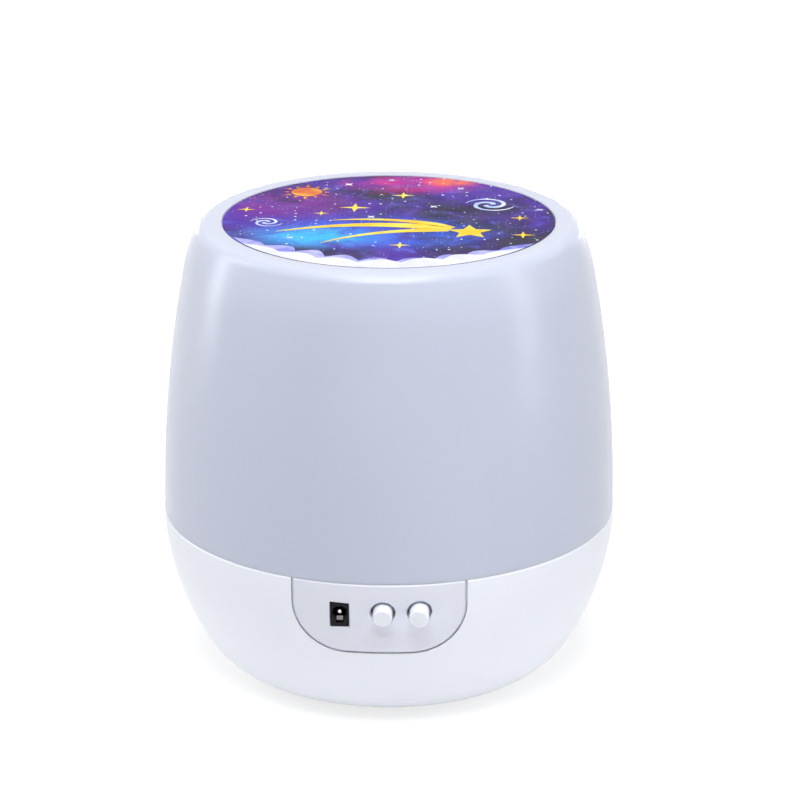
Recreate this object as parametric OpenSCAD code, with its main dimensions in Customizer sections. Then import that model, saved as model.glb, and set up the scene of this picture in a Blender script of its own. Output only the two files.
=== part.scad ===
// Star night light projector: a bowl-shaped base with a sliding-in control panel, a lift-off
// frosted shade with a round picture on top, and under the shade a star dome that a small
// motor turns through a gear train. Millimetres, +Z up, front at -Y, origin under the middle.

/* [Lamp] */
// Height from the table to the top of the shade
lamp_h = 130; // [126:1:136]
// Diameter at the seam between base and shade, the widest place
body_d = 127; // [124:1:132]
// Height of the seam
seam_z = 47.5; // [46:0.5:49]
// How far the rubber feet hold the base off the table
foot_lift = 1; // [0.6:0.1:1.4]

/* [Base shell] */
// Wall of the base shell
base_wall = 2.2; // [1.8:0.1:2.6]
// Radius of the bowl's long flank arc
flank_r = 75; // [70:1:85]
// Lean of the flank at the seam, in degrees
flank_lean_top = 2; // [0:0.5:4]
// Lean of the flank where the bottom rounding starts, in degrees
flank_lean_low = 31.5; // [28:0.5:34]
// Chamfer of the rim that catches the light along the seam
rim_chamfer = 0.5; // [0.2:0.1:0.8]
// Height of the ring that the deck rests on
ledge_h = 1.5; // [1:0.1:2.5]

/* [Shade] */
// Wall of the shade
shade_wall = 2; // [1.6:0.1:2.4]
// Step from the base rim in to the shade
shade_inset = 0.25; // [0.1:0.05:0.5]
// Lean where the shade's long side arc ends, in degrees
side_lean = 10.5; // [9:0.5:12]
// Radius of the shoulder arc
shoulder_r = 58; // [50:1:66]
// Lean where the shoulder ends and the top edge rounds over, in degrees
shoulder_lean = 23; // [20:0.5:26]
// Radius of the top edge
edge_r = 4; // [3:0.5:5]
// Width of the flat rim round the picture
picture_rim = 3.7; // [3:0.1:5]
// Thickness of the picture
picture_t = 0.5; // [0.3:0.1:0.6]
// Depth of the recess that holds the picture
recess_depth = 0.7; // [0.6:0.1:0.9]
// Clearance round the picture in its recess
picture_gap = 0.25; // [0.1:0.05:0.4]

/* [Control panel] */
// Half width of the panel
panel_half_w = 22.9; // [22.3:0.1:24.5]
// Height of the panel's lower edge
panel_low_z = 26.6; // [26:0.1:28]
// Radius of the panel's lower corners
panel_corner_r = 14; // [11:0.5:15]
// Groove round the panel
panel_groove = 0.6; // [0.4:0.05:0.7]
// Depth of that groove, down to the panel's lip
groove_depth = 0.7; // [0.5:0.1:1]
// Eased edge of the window and of the button holes
edge_ease = 0.35; // [0.2:0.05:0.5]
// Width of the flange that hooks behind the shell
flange_w = 1.6; // [1.2:0.1:2]
// Thickness of that flange
flange_t = 1.2; // [1:0.1:1.5]
// Downward tilt of the board, buttons and jack, in degrees
panel_tilt = 9; // [7:0.5:11]
// Height of the buttons on the panel
control_z = 39; // [38.5:0.1:39.5]

/* [Buttons and jack] */
// Radius of a button
button_r = 2.65; // [2.3:0.05:2.9]
// Radius of the hole in the panel for a button
button_hole_r = 3.35; // [3.2:0.05:3.6]
// How far a button stands out of the panel at its middle
button_proud = 2.6; // [2.2:0.1:3.2]
// Travel of a button
button_travel = 1.2; // [0.8:0.1:1.4]
// Place of the light button, to the right of the middle
light_button_x = 1.1; // [0.6:0.1:1.6]
// Place of the rotate button
rotate_button_x = 10.85; // [10.4:0.05:11.4]
// Place of the jack
jack_x = -10.5; // [-11.5:0.1:-9.5]
// Height of the jack's middle over the buttons
jack_up = -1.2; // [-1.5:0.1:-0.7]
// Width of the jack's face
jack_w = 4.9; // [4.5:0.1:5.2]
// Height of the jack's face
jack_h = 7.3; // [6.8:0.1:7.6]
// Height of the bore's middle over the middle of the jack's face
jack_bore_up = 0.45; // [0.2:0.05:0.8]
// Radius of the jack's barrel bore
jack_bore_r = 1.85; // [1.7:0.05:2]
// Radius of the jack's centre pin
jack_pin_r = 0.65; // [0.5:0.05:0.8]
// Depth of the jack's bore
jack_depth = 8.5; // [7.5:0.1:9]

/* [Battery bay] */
// Width of the bay for three AAA cells side by side
bay_w = 33.2; // [32.4:0.1:34]
// Length of the bay, cells and springs
bay_l = 50.6; // [50:0.1:51.2]
// Height of the bay's ceiling
bay_top = 15; // [14.6:0.1:17]
// Wall of the bay
bay_wall = 1.5; // [1.2:0.1:1.8]
// Thickness of the battery door
door_t = 1.6; // [1.3:0.1:1.7]
// Width of the step that the door seats on
door_step = 1.4; // [1:0.1:1.6]
// Clearance round the door
door_gap = 0.2; // [0.15:0.05:0.3]
// Spacing of the cells
cell_pitch = 10.9; // [10.8:0.05:11]

/* [Deck] */
// Thickness of the deck plate
deck_t = 2; // [1.6:0.1:2.4]
// Depth of the deck's top under the seam
deck_drop = 1.1; // [0.8:0.1:1.6]
// Height of the collar that centres the shade, over the seam
collar_h = 6; // [4:0.5:7]
// Wall of that collar
collar_wall = 2.2; // [1.8:0.1:2.6]
// Clearance between deck and base shell
deck_gap = 0.3; // [0.2:0.05:0.4]

/* [Turntable and dome] */
// Radius of the boss that the turntable turns on
boss_r = 13; // [12:0.1:14]
// Running clearance of the turntable on the boss
bearing_gap = 0.06; // [0.03:0.01:0.09]
// Outer radius of the turntable
table_r = 47.6; // [47:0.1:49]
// Thickness of the turntable's plate
table_t = 1.6; // [1.4:0.1:2]
// How far the dome's wall stands in from the turntable's edge
dome_inset = 4.6; // [4.2:0.1:5.6]
// Wall of the clear dome
dome_wall = 1.2; // [1:0.1:1.5]
// Thickness of the star film
film_t = 0.35; // [0.3:0.05:0.5]
// Number of petals in the star film
film_petals = 10; // [8:2:12]
// Thickness of the thrust washer
washer_t = 0.7; // [0.5:0.1:0.9]

/* [Gears] */
// Module of the turntable gear and its pinion
ring_module = 0.8; // [0.75:0.05:0.85]
// Teeth of the turntable gear
ring_teeth = 72; // [70:1:74]
// Module of the reduction gears
train_module = 0.6; // [0.55:0.05:0.6]
// Teeth of the two large reduction gears
wheel_teeth = 48; // [44:1:48]
// Teeth of every pinion
pinion_teeth = 12; // [12:1:13]
// Pressure angle, in degrees
pressure_angle = 25; // [22:0.5:28]
// Backlash at the pitch circle
backlash = 0.12; // [0.08:0.01:0.2]
// Direction of the drive shaft from the lamp's middle, in degrees
drive_dir = 75; // [73:0.5:76]
// Direction of the idler from the drive shaft, in degrees
idler_dir = 230; // [228:1:232]
// Direction of the motor from the idler, in degrees
motor_dir = 129; // [127:1:131]
// Radius of the motor
motor_r = 12; // [11:0.1:12.2]
// Length of the motor
motor_l = 14; // [12:0.5:16]

/* [Fasteners] */
// Radius of the screws that hold the deck
screw_r = 1.25; // [1.1:0.05:1.3]
// Clearance of a screw in its hole
screw_gap = 0.06; // [0.04:0.01:0.1]
// Place of a deck screw and foot, to the side
post_x = 24.5; // [24:0.1:25.5]
// Place of a deck screw and foot, to the front or back
post_y = 17; // [15:0.5:17.5]
// Radius of a rubber foot
foot_r = 4.5; // [4:0.1:4.8]

/* [Hidden] */
$fn = 96;
eps = 0.01;
seat_gap = 0.1;

body_r = body_d / 2;
deck_top = seam_z - deck_drop;
deck_low = deck_top - deck_t;
shell_floor = foot_lift + base_wall;

// A convex profile is a chain of arcs: from point p, with radius r, the outward normal
// turns from angle a to angle b (0 is outward, 90 is up).
function arc_end(p, r, a, b) = p + r * [cos(b) - cos(a), sin(b) - sin(a)];
function arc_points(p, r, a, b, n) = [for (i = [0:n]) arc_end(p, r, a, a + (b - a) * i / n)];
function inset(p, a, t) = p - t * [cos(a), sin(a)];
function reversed(list) = [for (i = [len(list) - 1:-1:0]) list[i]];
function polar(r, a) = [r * cos(a), r * sin(a)];

// Profile of the base, t inside its outer face, from the rim down to the bottom.
rim_point = [body_r, seam_z];
flank_end = arc_end(rim_point, flank_r, -flank_lean_top, -flank_lean_low);
bottom_r = (flank_end[1] - foot_lift) / (1 - sin(flank_lean_low));
function base_profile(t) = concat(
  arc_points(inset(rim_point, -flank_lean_top, t), flank_r - t, -flank_lean_top, -flank_lean_low, 12),
  arc_points(inset(flank_end, -flank_lean_low, t), bottom_r - t, -flank_lean_low, -90, 8));
function base_radius(z) = let (centre = inset(rim_point, -flank_lean_top, flank_r))
  centre[0] + sqrt(flank_r * flank_r - pow(z - centre[1], 2));
control_r = base_radius(control_z);
module base_solid(t) {
  profile = base_profile(t);
  rotate_extrude() polygon(concat([[0, seam_z + 1], [profile[0][0], seam_z + 1]], profile,
    [[0, foot_lift + t]]));
}

// Profile of the shade, t inside its outer face, from the seam up to the flat top.
shade_r = body_r - shade_inset;
shoulder_h = shoulder_r * (sin(shoulder_lean) - sin(side_lean));
edge_h = edge_r * (1 - sin(shoulder_lean));
side_r = (lamp_h - seam_z - shoulder_h - edge_h) / sin(side_lean);
side_end = arc_end([shade_r, seam_z], side_r, 0, side_lean);
shoulder_end = arc_end(side_end, shoulder_r, side_lean, shoulder_lean);
top_flat_r = shoulder_end[0] - edge_r * cos(shoulder_lean);
picture_r = top_flat_r - picture_rim - picture_gap;
function shade_profile(t) = concat(
  arc_points([shade_r - t, seam_z], side_r - t, 0, side_lean, 12),
  arc_points(inset(side_end, side_lean, t), shoulder_r - t, side_lean, shoulder_lean, 5),
  arc_points(inset(shoulder_end, shoulder_lean, t), edge_r - t, shoulder_lean, 90, 8));

// Places round the base
posts = [for (sx = [-1, 1], sy = [-1, 1]) [sx * post_x, sy * post_y]];
post_split = 35.5;
screw_seat = 28;
post_r = 4.2;
pillar_r = 3.4;
counterbore_r = 3.1;
head_r = 2.7;
head_h = 1.9;
foot_inset = 0.8;
foot_plug_h = 3;
pillar_bite = 5.5;
rib_t = 1.4;
gusset_h = 15;
deck_rib_h = 2.4;

// The controls' own frame: x to the right, y up the panel, z out of the panel.
module at_controls() {
  translate([0, -control_r, control_z]) rotate([90 + panel_tilt, 0, 0]) children();
}
// The same frame moved sideways to x and turned square to the round panel there
module on_panel(x) {
  at_controls() translate([x, 0, sqrt(control_r * control_r - x * x) - control_r])
    rotate([0, asin(x / control_r), 0]) children();
}
board_z = -11;
board_t = 1.2;
board_size = [42, 12];
board_low = -9;
switch_top = -7.2;
sleeve_end = -4.6;
sleeve_r = 4.5;
button_flange_r = 3.9;
button_flange_t = 1;
stem_r = 1.7;
stem_end = -8;
window_gap = 0.12;
jack_front = -1.3;
jack_root = board_z + 0.2;
jack_bore_end = jack_front - jack_depth;
jack_pin_inset = 0.6;
jack_pin_round = 0.5;
jack_spring_w = 1.7;
jack_slot_w = 2.1;
jack_slot_drop = 1.2;
board_posts = [[-18.4, -3], [18.4, -3]];
board_post_r = 2.2;
board_screw_r = 0.9;
board_screw_l = 6;
window_back = -8;
switch_size = 6;
chip_size = [5, 4, 1.5];
chip_at = [-9, -5];
small_chip = [1.2, 2, 0.6];
small_chip_at = [2.5, -4];
small_chip_pitch = 2.5;
capacitor_at = [-14, -4];
capacitor_r = 2.5;
capacitor_h = 7;
plug_size = [5, 4, 4.5];
led_plug_at = [9.5, -7];
motor_plug_at = [-3, -7.5];

// Turntable heights
washer_r = 16.4;
hub_r = 16.6;
hub_low = deck_top + washer_t + seat_gap;
ring_low = hub_low + 0.7;
ring_h = 3.7;
table_low = ring_low + ring_h;
table_top = table_low + table_t;
boss_top = table_top + 1;
hub_top = boss_top - 0.2;
dome_r = table_r - dome_inset;
upstand_h = 2.8;
upstand_top = table_top + upstand_h;
upstand_wall = 1.6;
dome_skirt_h = 6.8;
dome_z = table_top + dome_skirt_h;
dome_gap = 0.2;
dome_flange_r = table_r - upstand_wall - dome_gap;
dome_flange_t = 1.4;
lug_r = dome_r + 1.6;
lug_angle = 16;
film_gap = 0.3;
film_r = dome_r - dome_wall - film_gap;
film_ring_r = film_r - film_t - film_gap;
film_ring_t = 1.3;
film_ring_drop = 1.5;
holder_t = 1.4;
holder_r = 16.2;
lamp_post_r = 8;
lamp_post_h = 4.2;
wire_hole_r = 3.5;
led_board_r = 9;
led_board_t = 1.2;
holder_screw_ring = 10.4;
small_screw_r = 0.85;
small_head_r = 1.6;
small_head_h = 0.9;
small_screw_bite = 5;

// Gear train: places, levels and the phases that put the teeth in mesh
ring_distance = ring_module * (ring_teeth + pinion_teeth) / 2;
train_distance = train_module * (wheel_teeth + pinion_teeth) / 2;
drive_at = polar(ring_distance, drive_dir);
idler_at = drive_at + polar(train_distance, idler_dir);
motor_at = idler_at + polar(train_distance, motor_dir);
// Rotation of a gear with n teeth that meshes with one of m teeth turned by turn, seen from
// it in direction dir
function mesh_turn(turn, m, n, dir) = dir + 180 - (180 - (dir - turn) * m) / n;
drive_turn = mesh_turn(0, ring_teeth, pinion_teeth, drive_dir);
idler_turn = mesh_turn(drive_turn, wheel_teeth, pinion_teeth, idler_dir);
motor_turn = mesh_turn(idler_turn, wheel_teeth, pinion_teeth, motor_dir);

gear_plate_t = 1.6;
gear_plate_low = 34.5;
gear_plate_top = gear_plate_low + gear_plate_t;
wheel_t = 2.4;
idler_low = gear_plate_top + 0.8;
idler_mid = idler_low + wheel_t;
output_low = idler_mid + 0.6;
idler_top = output_low + wheel_t + 0.2;
shaft_r = 1.5;
shaft_gap = 0.05;
axle_r = 1;
motor_shaft_r = 1;
bushing_r = 3.2;
bushing_flange_r = 4;
bushing_flange_t = 0.7;
drive_pinion_low = deck_top + bushing_flange_t + 0.4;
drive_pinion_top = table_low - 0.5;
standoff_r = 3;
wheel_tip = train_module * (wheel_teeth / 2 + 1);
standoffs = [motor_at + polar(motor_r + standoff_r + 1, 206),
  drive_at + polar(wheel_tip + standoff_r + 1.2, 8),
  idler_at + polar(wheel_tip + standoff_r + 2.4, -39)];
motor_top = gear_plate_low;
motor_boss_r = 3.2;
motor_boss_h = 1.1;
motor_screw_ring = 6.5;
motor_screw_bite = 2.4;
motor_cap_h = 2;
motor_lug_x = 5;
motor_lug_inset = 4;
motor_lug_h = 2.4;

// Battery door
plate_t = 0.4;
door_half_w = bay_w / 2 + door_step;
door_half_l = bay_l / 2 + door_step - 0.2;
door_corner = 2.5;
door_lobe_y = door_half_l + 2;
door_lobe_r = 4;
door_screw_r = 1.25;
door_screw_gap = 0.35;
door_screw_top = 6.5;
hook_x = 9;
hook_w = 5.4;
hook_low = shell_floor + 0.15;
hook_t = 1.05;
hook_reach = 1.9;
hook_web = 1.5;
hook_y = bay_l / 2 - plate_t - 0.1 - hook_web;
plate_w = 9;
plate_low = 5;
plate_high = bay_top - 0.9;
cell_x = [-cell_pitch, 0, cell_pitch];
cell_z = (plate_low + plate_high) / 2;
tab_w = 3;
tab_top = bay_top + bay_wall + 2.4;
spring_turns = 4;
spring_r = 3.5;
spring_tip_r = 2.2;
spring_l = 5;
spring_wire = 0.35;
grip_w = 12;
grip_pitch = 1.6;

// Wiring
wire_r = 0.55;
wire_pitch = 1.4;
wire_seat = 0.05;
wire_steps = 16;
wire_sides = 8;
battery_pad_x = [-9, 17];

// ---- shared shapes ----

module at(p) { translate([p[0], p[1], 0]) children(); }

module disc(r, low, high) { translate([0, 0, low]) cylinder(r = r, h = high - low); }

module ring(outer, inner, low, high) {
  difference() {
    disc(outer, low, high);
    disc(inner, low - 1, high + 1);
  }
}

module rounded_rect(half_w, half_l, r) {
  square([2 * half_w, 2 * (half_l - r)], center = true);
  square([2 * (half_w - r), 2 * half_l], center = true);
  for (sx = [-1, 1], sy = [-1, 1]) translate([sx * (half_w - r), sy * (half_l - r)]) circle(r);
}

// Pan-head screw: head under the seat at z = 0, shank up
module screw(r, length, cap_r, cap_h) {
  difference() {
    union() {
      cylinder(r = r, h = length);
      translate([0, 0, -cap_h]) cylinder(r = cap_r, h = cap_h);
    }
    for (a = [0, 90]) rotate(a) translate([-cap_r * 0.6, -0.2, -cap_h - eps])
      cube([cap_r * 1.2, 0.4, cap_h * 0.5]);
  }
}

// Involute spur gear of n teeth, module m, with flank points per flank
function involute(x) = tan(x) * 180 / PI - x;
function tooth_half(r, base_r, half, pa) = half + involute(pa) - involute(acos(min(1, base_r / r)));
function gear_outline(n, m, steps) = let (
  pitch_r = n * m / 2,
  base_r = pitch_r * cos(pressure_angle),
  tip_r = pitch_r + m,
  root_r = pitch_r - 1.25 * m,
  low_r = max(base_r, root_r),
  half = (90 - backlash / m * 90 / PI) / n,
  flank = [for (i = [0:steps]) let (r = low_r + (tip_r - low_r) * i / steps)
    [r, tooth_half(r, base_r, half, pressure_angle)]],
  side = concat([[root_r, flank[0][1]]], flank))
  [for (k = [0:n - 1]) each concat(
    [for (q = side) polar(q[0], 360 / n * k - q[1])],
    [for (q = reversed(side)) polar(q[0], 360 / n * k + q[1])])];
module gear(n, m, low, high, steps = 3) {
  translate([0, 0, low]) linear_extrude(high - low) polygon(gear_outline(n, m, steps));
}

// Conical coil of round wire, from [r0, 0] to [r1, length], wound up the z axis
function coil_ring(t, turns, r0, r1, length, wire, sides) = let (
  a = 360 * turns * t,
  r = r0 + (r1 - r0) * t,
  lift = wire + (length - 2 * wire) * t)
  [for (k = [0:sides - 1]) let (b = 360 * k / sides)
    [(r + wire * cos(b)) * cos(a), (r + wire * cos(b)) * sin(a), lift + wire * sin(b)]];
module coil(turns, r0, r1, length, wire, sides = 6, per_turn = 8) {
  n = turns * per_turn;
  points = [for (i = [0:n]) each coil_ring(i / n, turns, r0, r1, length, wire, sides)];
  walls = [for (i = [0:n - 1], k = [0:sides - 1]) let (
    a = i * sides + k, b = i * sides + (k + 1) % sides, c = b + sides, d = a + sides)
    each [[a, b, c], [a, c, d]]];
  caps = [for (k = [1:sides - 2]) each
    [[0, k + 1, k], [n * sides, n * sides + k, n * sides + k + 1]]];
  polyhedron(points, concat(walls, caps));
}

// ---- base ----

// Outline of the control panel seen from the front, grown by g
module panel_outline(g) {
  corner_x = panel_half_w - panel_corner_r;
  corner_z = panel_low_z + panel_corner_r;
  for (sx = [-1, 1]) translate([sx * corner_x, corner_z]) circle(panel_corner_r + g);
  translate([-corner_x, panel_low_z - g]) square([2 * corner_x, panel_corner_r + g]);
  translate([-panel_half_w - g, corner_z]) square([2 * (panel_half_w + g), seam_z - corner_z + 4]);
}
module panel_prism(g) {
  rotate([90, 0, 0]) linear_extrude(body_r + 5) panel_outline(g);
}

module shell_bowl() {
  difference() {
    union() {
      difference() {
        base_solid(0);
        base_solid(base_wall);
      }
      // ledge for the deck
      difference() {
        intersection() {
          base_solid(base_wall - eps);
          ring(body_r, body_r - base_wall - 2.2, deck_low - ledge_h, deck_low);
        }
        panel_prism(flange_w + 0.6);
      }
    }
    translate([0, 0, seam_z]) cylinder(r = body_r + 1, h = 2);
    rim_cut = body_r - rim_chamfer;
    rotate_extrude() polygon([[rim_cut, seam_z + eps], [body_r + 1, seam_z + eps],
      [body_r + 1, seam_z - rim_chamfer - 1], [body_r + 0.02, seam_z - rim_chamfer]]);
    panel_prism(panel_groove);
  }
}

module door_outline(g) {
  rounded_rect(door_half_w + g, door_half_l + g, door_corner);
  translate([0, -door_lobe_y]) circle(door_lobe_r + g);
  translate([-door_lobe_r - g, -door_lobe_y]) square([2 * (door_lobe_r + g), door_lobe_r]);
}

module bay_block() {
  half = [bay_w / 2 + bay_wall, bay_l / 2 + bay_wall];
  low = foot_lift + 0.5;
  translate([-half[0], -half[1], low])
    cube([2 * half[0], 2 * half[1], bay_top + bay_wall - low]);
  for (sx = [-1, 1]) translate([sx * hook_x - hook_w / 2 - 1.5, half[1] - 1, low])
    cube([hook_w + 3, 4, 7]);
  translate([0, -door_lobe_y, low]) cylinder(r = door_lobe_r - 0.4, h = 8.5);
}

module bay_cuts() {
  translate([-bay_w / 2, -bay_l / 2, 0]) cube([bay_w, bay_l, bay_top]);
  linear_extrude(foot_lift + door_t + seat_gap) door_outline(door_gap);
  translate([0, -door_lobe_y, 0])
    cylinder(r = door_screw_r + door_screw_gap, h = door_screw_top + 0.6);
  // slots for the tabs of the end contacts
  for (i = [0, 2]) translate([cell_x[i] - tab_w / 2 - 0.3, (i - 1) * (bay_l / 2 - 0.4) - 0.4, 0])
    cube([tab_w + 0.6, 0.8, lamp_h / 2]);
  // pockets for the door's hooks
  for (sx = [-1, 1]) translate([sx * hook_x - hook_w / 2 - 0.3, 0, 0]) {
    translate([0, bay_l / 2 - 1, foot_lift + door_t]) cube([hook_w + 0.6, door_step + 0.9, 4]);
    translate([0, bay_l / 2 - 1, shell_floor])
      cube([hook_w + 0.6, door_step + hook_reach + 1.6, 3.4]);
  }
}

module base_shell() color("#eef0fa") difference() {
  union() {
    shell_bowl();
    for (p = posts) at(p) disc(post_r, foot_lift + 0.6, post_split);
    // gussets from the posts out to the bowl
    intersection() {
      for (p = posts) at(p) rotate(atan2(p[1], p[0])) translate([0, -rib_t / 2, foot_lift])
        cube([body_r, rib_t, gusset_h]);
      base_solid(base_wall - eps);
    }
    bay_block();
  }
  bay_cuts();
  for (p = posts) at(p) {
    disc(foot_r + seat_gap, -1, foot_lift + foot_inset);
    disc(counterbore_r, -1, screw_seat);
    disc(screw_r + 0.3, -1, post_split + 1);
  }
}

// Band behind the panel's edge, from depth t inwards, out to g beyond the panel's outline
module panel_flange(t, g) intersection() {
  difference() {
    base_solid(t);
    base_solid(base_wall + flange_t);
  }
  difference() {
    intersection() {
      panel_prism(g);
      translate([-body_r, -body_r, 0]) cube([body_d, body_r, deck_low - 0.5]);
    }
    panel_prism(-2);
  }
}

module control_panel() color("#e6e9f5") difference() {
  union() {
    intersection() {
      difference() {
        base_solid(0);
        base_solid(base_wall);
      }
      panel_prism(0);
    }
    // lip that closes the groove
    intersection() {
      difference() {
        base_solid(groove_depth);
        base_solid(base_wall);
      }
      panel_prism(panel_groove - seat_gap);
    }
    panel_flange(base_wall + 0.05, flange_w);
    panel_flange(base_wall - 0.3, -0.3);
    intersection() {
      at_controls() {
        for (x = [light_button_x, rotate_button_x])
          translate([x, 0, sleeve_end]) cylinder(r = sleeve_r, h = -sleeve_end + 2);
        for (p = board_posts)
          translate([p[0], p[1], board_z]) cylinder(r = board_post_r, h = 9);
      }
      base_solid(base_wall / 2);
    }
  }
  translate([0, 0, seam_z]) cylinder(r = body_r + 1, h = 2);
  rotate_extrude() polygon([[body_r - rim_chamfer, seam_z + eps], [body_r + 1, seam_z + eps],
    [body_r + 1, seam_z - rim_chamfer - 1], [body_r + 0.02, seam_z - rim_chamfer]]);
  at_controls() {
    for (x = [light_button_x, rotate_button_x])
      translate([x, 0, sleeve_end - 1]) cylinder(r = button_hole_r, h = -sleeve_end + 6);
    translate([jack_x - jack_w / 2 - window_gap, jack_up - jack_h / 2 - window_gap, window_back])
      cube([jack_w + 2 * window_gap, jack_h + 2 * window_gap, 4 - window_back]);
    for (p = board_posts) translate([p[0], p[1], board_z - 1])
      cylinder(r = board_screw_r + screw_gap, h = board_screw_l + 1);
  }
  for (x = [light_button_x, rotate_button_x]) on_panel(x) translate([0, 0, -2 * edge_ease])
    cylinder(r1 = button_hole_r - edge_ease, r2 = button_hole_r + 2 * edge_ease, h = 3 * edge_ease);
  on_panel(jack_x) translate([0, jack_up, 0]) hull() {
    window_slice(0, -edge_ease);
    window_slice(2 * edge_ease, edge_ease);
  }
}
// Thin slice of the jack's window, grown by g, at height z
module window_slice(g, z) {
  half = [jack_w / 2 + window_gap + g, jack_h / 2 + window_gap + g];
  translate([-half[0], -half[1], z]) cube([2 * half[0], 2 * half[1], eps]);
}

module rubber_feet() color("#d8d9de") for (p = posts) at(p) {
  disc(foot_r, 0, foot_lift + foot_inset - 0.05);
  disc(counterbore_r - seat_gap, foot_lift / 2, foot_lift + foot_inset + foot_plug_h);
}

module housing_screws() color("#b9bcc2") for (p = posts) at(p)
  translate([0, 0, screw_seat]) screw(screw_r, post_split - screw_seat + pillar_bite, head_r, head_h);

// ---- controls ----

module main_board() color("#2f7d4f") at_controls() difference() {
  translate([-board_size[0] / 2, board_low, board_z - board_t])
    cube([board_size[0], board_size[1], board_t]);
  for (p = board_posts) translate([p[0], p[1], board_z - 3]) cylinder(r = 1.1, h = 5);
}

module board_components() color("#23252b") at_controls() translate([0, 0, board_z - board_t]) {
  translate([chip_at[0], chip_at[1], -chip_size[2]]) cube(chip_size);
  for (i = [0:2]) translate([small_chip_at[0] + i * small_chip_pitch, small_chip_at[1], -small_chip[2]])
    cube(small_chip);
  translate([capacitor_at[0], capacitor_at[1], -capacitor_h])
    cylinder(r = capacitor_r, h = capacitor_h);
  for (p = [led_plug_at, motor_plug_at]) translate([p[0], p[1], -plug_size[2]]) cube(plug_size);
}

module board_screws() color("#b9bcc2") at_controls() for (p = board_posts)
  translate([p[0], p[1], board_z - board_t])
    screw(board_screw_r, board_screw_l, small_head_r, small_head_h);

module push_switches() color("#3a3c42") at_controls()
  for (x = [light_button_x, rotate_button_x]) difference() {
    translate([x - switch_size / 2, -switch_size / 2, board_z])
      cube([switch_size, switch_size, switch_top - board_z]);
    translate([x, 0, stem_end - button_travel - 0.4])
      cylinder(r = stem_r + 0.08, h = switch_top - stem_end + 3);
  }

module push_button(x) color("white") at_controls() translate([x, 0, 0]) {
  edge = 0.7;
  flange_top = sleeve_end - seat_gap;
  rotate_extrude() polygon(concat(
    [[0, stem_end], [stem_r, stem_end], [stem_r, flange_top - button_flange_t],
      [button_flange_r - 1, flange_top - button_flange_t],
      [button_flange_r, flange_top - button_flange_t],
      [button_flange_r, flange_top], [button_r, flange_top]],
    arc_points([button_r, button_proud - edge], edge, 0, 90, 6),
    [[0, button_proud]]));
}
module light_button() push_button(light_button_x);
module rotate_button() push_button(rotate_button_x);

module at_jack() { at_controls() translate([jack_x, jack_up, 0]) children(); }
module jack_housing() color("#17181b") at_jack() difference() {
  translate([-jack_w / 2, -jack_h / 2, board_z]) cube([jack_w, jack_h, jack_front - board_z]);
  translate([0, jack_bore_up, jack_bore_end]) cylinder(r = jack_bore_r, h = jack_depth + 1);
  translate([0, jack_bore_up, jack_root]) cylinder(r = jack_pin_r, h = jack_depth);
  translate([0, jack_bore_up, jack_front - 0.5])
    cylinder(r1 = jack_bore_r, r2 = jack_bore_r + 0.45, h = 0.51);
  translate([-jack_slot_w / 2, jack_bore_up - jack_bore_r - jack_slot_drop, jack_bore_end])
    cube([jack_slot_w, jack_slot_drop + 0.4, jack_depth + 1]);
}

module jack_pin() color("#d9d4c4") at_jack() {
  tip = arc_points([jack_pin_r, jack_front - jack_pin_inset - jack_pin_round], jack_pin_round, 0, 90, 5);
  translate([0, jack_bore_up, 0]) rotate_extrude() polygon(concat(
    [[0, jack_root], [jack_pin_r, jack_root]], tip, [[0, tip[5][1]]]));
}

// Leaf in the slot under the bore, with a knee that rises a little into the bore
module jack_spring() color("#cfd2d6") at_jack() {
  low = jack_bore_up - jack_bore_r;
  knee = jack_depth - 1.4;
  nose = jack_depth - 0.4;
  translate([0, 0, jack_bore_end]) rotate([90, 0, 90])
    linear_extrude(jack_spring_w, center = true) polygon([[low - 1.1, 0.1], [low - 0.75, 0.1],
      [low + 0.35, knee - 0.5], [low + 0.35, knee + 0.3], [low - 0.5, nose],
      [low - 0.85, nose - 0.2], [low - 0.05, knee - 0.1]]);
}

// ---- battery bay ----

module battery_door() color("#e8eaf5") difference() {
  union() {
    translate([0, 0, foot_lift]) linear_extrude(door_t) door_outline(0);
    for (sx = [-1, 1]) translate([sx * hook_x - hook_w / 2, hook_y, 0]) {
      translate([0, 0, foot_lift + door_t - 0.2])
        cube([hook_w, hook_web, hook_low + hook_t - foot_lift - door_t + 0.2]);
      translate([0, 0, hook_low]) cube([hook_w, door_half_l + hook_reach - hook_y, hook_t]);
    }
  }
  translate([0, -door_lobe_y, 0]) {
    cylinder(r = door_screw_r + 0.1, h = 8);
    cylinder(r = head_r + 0.1, h = foot_lift + 0.9);
  }
  // grip ribs cut in the outer face
  for (i = [-2:2]) translate([-grip_w / 2, -door_half_l + 8 + i * grip_pitch, foot_lift - 1])
    cube([grip_w, 0.7, 1.4]);
}

module battery_door_screw() color("#b9bcc2") translate([0, -door_lobe_y, foot_lift + 0.9])
  screw(door_screw_r, door_screw_top - foot_lift - 0.9, head_r, 0.8);

// The cells lie head to tail: each end has one single plate and one that bridges two cells.
// A spring presses on each cell's flat end, and a dimple meets the other.
module contact_plate(first, last, side) {
  middle = (cell_x[first] + cell_x[last]) / 2;
  wide = cell_x[last] - cell_x[first] + plate_w;
  translate([0, side * (bay_l / 2 - plate_t / 2), 0]) {
    translate([middle - wide / 2, -plate_t / 2, plate_low])
      cube([wide, plate_t, plate_high - plate_low]);
    for (i = [first:last]) if ((i % 2 == 0) != (side < 0))
      translate([cell_x[i], -side * plate_t / 2, cell_z]) rotate([side * 90, 0, 0])
        cylinder(r1 = 2, r2 = 1.6, h = 0.7);
    if (first == last) translate([middle - tab_w / 2, -plate_t / 2, plate_high - 1])
      cube([tab_w, plate_t, tab_top - plate_high + 1]);
  }
}
module battery_plates() color("#c9ccd0") {
  contact_plate(0, 0, -1);
  contact_plate(1, 2, -1);
  contact_plate(0, 1, 1);
  contact_plate(2, 2, 1);
}
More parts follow.
